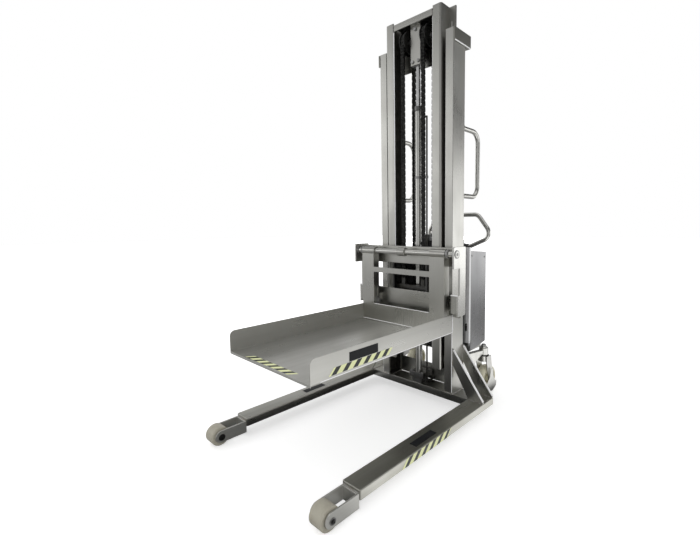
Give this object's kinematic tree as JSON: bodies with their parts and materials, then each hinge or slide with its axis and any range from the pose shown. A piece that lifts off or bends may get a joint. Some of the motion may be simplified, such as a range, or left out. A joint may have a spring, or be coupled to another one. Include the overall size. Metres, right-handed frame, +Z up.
{
  "type": "semi-electric stacker",
  "caption": "Stainless straddle stacker with a telescopic chain-lifted mast, a tilting sheet-metal tray, load rollers, swivel castors and a covered power unit.",
  "frame": {"origin": "bottom centre of the whole part's box, on the floor", "axes": "+Z up, legs and tray towards -Y, operator's side +Y, X across"},
  "size_m": [0.88, 1.483, 2.111],
  "materials": {
    "stainless": "satin",
    "machined_steel": "machined",
    "chromed_bar": "polished",
    "oiled_steel": "oiled",
    "tank_paint": "satin",
    "pump_paint": "satin",
    "black_plastic": "matte",
    "cover_sheet": "satin",
    "red_plastic": "gloss",
    "nylon": "matte",
    "cream_polyurethane": "satin"
  },
  "bodies": {
    "chassis": {"leg_left": "stainless", "leg_right": "stainless", "cross_member": "stainless", "roller_brackets": "stainless", "roller_axles": "machined_steel", "gussets": "stainless", "outer_rail_left": "stainless", "outer_rail_right": "stainless", "top_tie": "stainless", "mast_ties": "stainless", "cylinder_tube": "stainless", "cylinder_gland": "machined_steel", "cylinder_foot": "machined_steel", "hydraulic_pipe": "machined_steel", "rear_frame": "stainless", "castor_arms": "stainless", "oil_tank": "tank_paint", "pump_unit": "pump_paint", "battery": "black_plastic", "cover": "cover_sheet", "grab_handles": "stainless", "loop_handle": "stainless", "console": "black_plastic", "rear_chains": "oiled_steel"},
    "inner_mast": {"inner_rail_left": "stainless", "inner_rail_right": "stainless", "inner_crossbar": "stainless", "inner_tie": "stainless", "centre_plate": "stainless", "plate_bolts": "machined_steel", "rod_head": "machined_steel", "piston_rod": "chromed_bar", "pulley_axle": "machined_steel", "chain_wraps": "oiled_steel", "front_chains": "oiled_steel"},
    "carriage": {"carriage_upper_plate": "stainless", "carriage_lower_plate": "stainless", "carriage_sides": "stainless", "carriage_arms": "stainless", "chain_anchors": "machined_steel", "tray_shaft": "chromed_bar"},
    "tray": {"tray_pan": "stainless", "tray_frame": "stainless"},
    "pulley_left": {"pulley_left": "oiled_steel"},
    "pulley_right": {"pulley_right": "oiled_steel"},
    "mast_roller_left": {"mast_roller_left": "machined_steel"},
    "mast_roller_right": {"mast_roller_right": "machined_steel"},
    "carriage_roller_a": {"carriage_roller_a": "machined_steel"},
    "carriage_roller_b": {"carriage_roller_b": "machined_steel"},
    "carriage_roller_c": {"carriage_roller_c": "machined_steel"},
    "carriage_roller_d": {"carriage_roller_d": "machined_steel"},
    "front_roller_left": {"front_roller_left": "nylon"},
    "front_roller_right": {"front_roller_right": "nylon"},
    "castor_fork_left": {"castor_fork_left": "stainless"},
    "castor_fork_right": {"castor_fork_right": "stainless"},
    "castor_wheel_left": {"castor_wheel_left": "cream_polyurethane"},
    "castor_wheel_right": {"castor_wheel_right": "cream_polyurethane"},
    "lift_lever": {"lift_lever": "black_plastic"},
    "key_switch": {"key_switch": "machined_steel"},
    "stop_button": {"stop_button": "red_plastic"}
  },
  "joints": [
    {"name": "mast_slide", "type": "slide", "parent": "chassis", "child": "inner_mast", "axis": [0, 0, 1], "range_m": [-0.125, 1.15], "deforming": ["rear_chains"]},
    {"name": "carriage_slide", "type": "slide", "parent": "inner_mast", "child": "carriage", "axis": [0, 0, 1], "range_m": [-0.125, 1.15], "deforming": ["front_chains"]},
    {"name": "tray_tilt", "type": "hinge", "parent": "carriage", "child": "tray", "pos_m": [0, 0.1655, 0.857], "axis": [-1, 0, 0], "range_deg": [0, 80]},
    {"name": "pulley_left_spin", "type": "hinge", "parent": "inner_mast", "child": "pulley_left", "pos_m": [-0.07, 0.3115, 2], "axis": [1, 0, 0], "continuous": true},
    {"name": "pulley_right_spin", "type": "hinge", "parent": "inner_mast", "child": "pulley_right", "pos_m": [0.07, 0.3115, 2], "axis": [1, 0, 0], "continuous": true},
    {"name": "mast_roller_left_spin", "type": "hinge", "parent": "inner_mast", "child": "mast_roller_left", "pos_m": [-0.213, 0.33, 0.265], "axis": [1, 0, 0], "continuous": true},
    {"name": "mast_roller_right_spin", "type": "hinge", "parent": "inner_mast", "child": "mast_roller_right", "pos_m": [0.213, 0.33, 0.265], "axis": [1, 0, 0], "continuous": true},
    {"name": "carriage_roller_a_spin", "type": "hinge", "parent": "carriage", "child": "carriage_roller_a", "pos_m": [0.16, 0.2985, 0.834], "axis": [1, 0, 0], "continuous": true},
    {"name": "carriage_roller_b_spin", "type": "hinge", "parent": "carriage", "child": "carriage_roller_b", "pos_m": [0.16, 0.2985, 0.604], "axis": [1, 0, 0], "continuous": true},
    {"name": "carriage_roller_c_spin", "type": "hinge", "parent": "carriage", "child": "carriage_roller_c", "pos_m": [-0.16, 0.2985, 0.834], "axis": [1, 0, 0], "continuous": true},
    {"name": "carriage_roller_d_spin", "type": "hinge", "parent": "carriage", "child": "carriage_roller_d", "pos_m": [-0.16, 0.2985, 0.604], "axis": [1, 0, 0], "continuous": true},
    {"name": "front_roller_left_spin", "type": "hinge", "parent": "chassis", "child": "front_roller_left", "pos_m": [-0.3925, -0.6995, 0.042], "axis": [1, 0, 0], "continuous": true},
    {"name": "front_roller_right_spin", "type": "hinge", "parent": "chassis", "child": "front_roller_right", "pos_m": [0.3925, -0.6995, 0.042], "axis": [1, 0, 0], "continuous": true},
    {"name": "castor_left_swivel", "type": "hinge", "parent": "chassis", "child": "castor_fork_left", "pos_m": [-0.268, 0.5925, 0.25], "axis": [0, 0, 1], "continuous": true},
    {"name": "castor_left_spin", "type": "hinge", "parent": "castor_fork_left", "child": "castor_wheel_left", "pos_m": [-0.268, 0.6205, 0.08], "axis": [1, 0, 0], "continuous": true},
    {"name": "castor_right_swivel", "type": "hinge", "parent": "chassis", "child": "castor_fork_right", "pos_m": [0.268, 0.5925, 0.25], "axis": [0, 0, 1], "continuous": true},
    {"name": "castor_right_spin", "type": "hinge", "parent": "castor_fork_right", "child": "castor_wheel_right", "pos_m": [0.268, 0.6205, 0.08], "axis": [1, 0, 0], "continuous": true},
    {"name": "lever_rock", "type": "hinge", "parent": "chassis", "child": "lift_lever", "pos_m": [0, 0.7175, 0.872], "axis": [1, 0, 0], "range_deg": [-18, 18], "stiffness_Nm_per_rad": 0.6},
    {"name": "key_turn", "type": "hinge", "parent": "chassis", "child": "key_switch", "pos_m": [0.045, 0.7175, 0.88], "axis": [0, 0, 1], "range_deg": [0, 90]},
    {"name": "stop_press", "type": "slide", "parent": "chassis", "child": "stop_button", "axis": [0, 0, 1], "range_m": [-0.005, 0], "stiffness_N_per_m": 900}
  ],
  "couplings": [
    {"joint": "carriage_slide", "follows": "mast_slide", "ratio": 1},
    {"joint": "pulley_left_spin", "follows": "mast_slide", "rad_per_m": -20.833},
    {"joint": "pulley_right_spin", "follows": "mast_slide", "rad_per_m": -20.833},
    {"joint": "mast_roller_left_spin", "follows": "mast_slide", "rad_per_m": -21.231},
    {"joint": "mast_roller_right_spin", "follows": "mast_slide", "rad_per_m": -21.231},
    {"joint": "carriage_roller_a_spin", "follows": "mast_slide", "rad_per_m": 31.646},
    {"joint": "carriage_roller_b_spin", "follows": "mast_slide", "rad_per_m": -31.646},
    {"joint": "carriage_roller_c_spin", "follows": "mast_slide", "rad_per_m": 31.646},
    {"joint": "carriage_roller_d_spin", "follows": "mast_slide", "rad_per_m": -31.646}
  ]
}
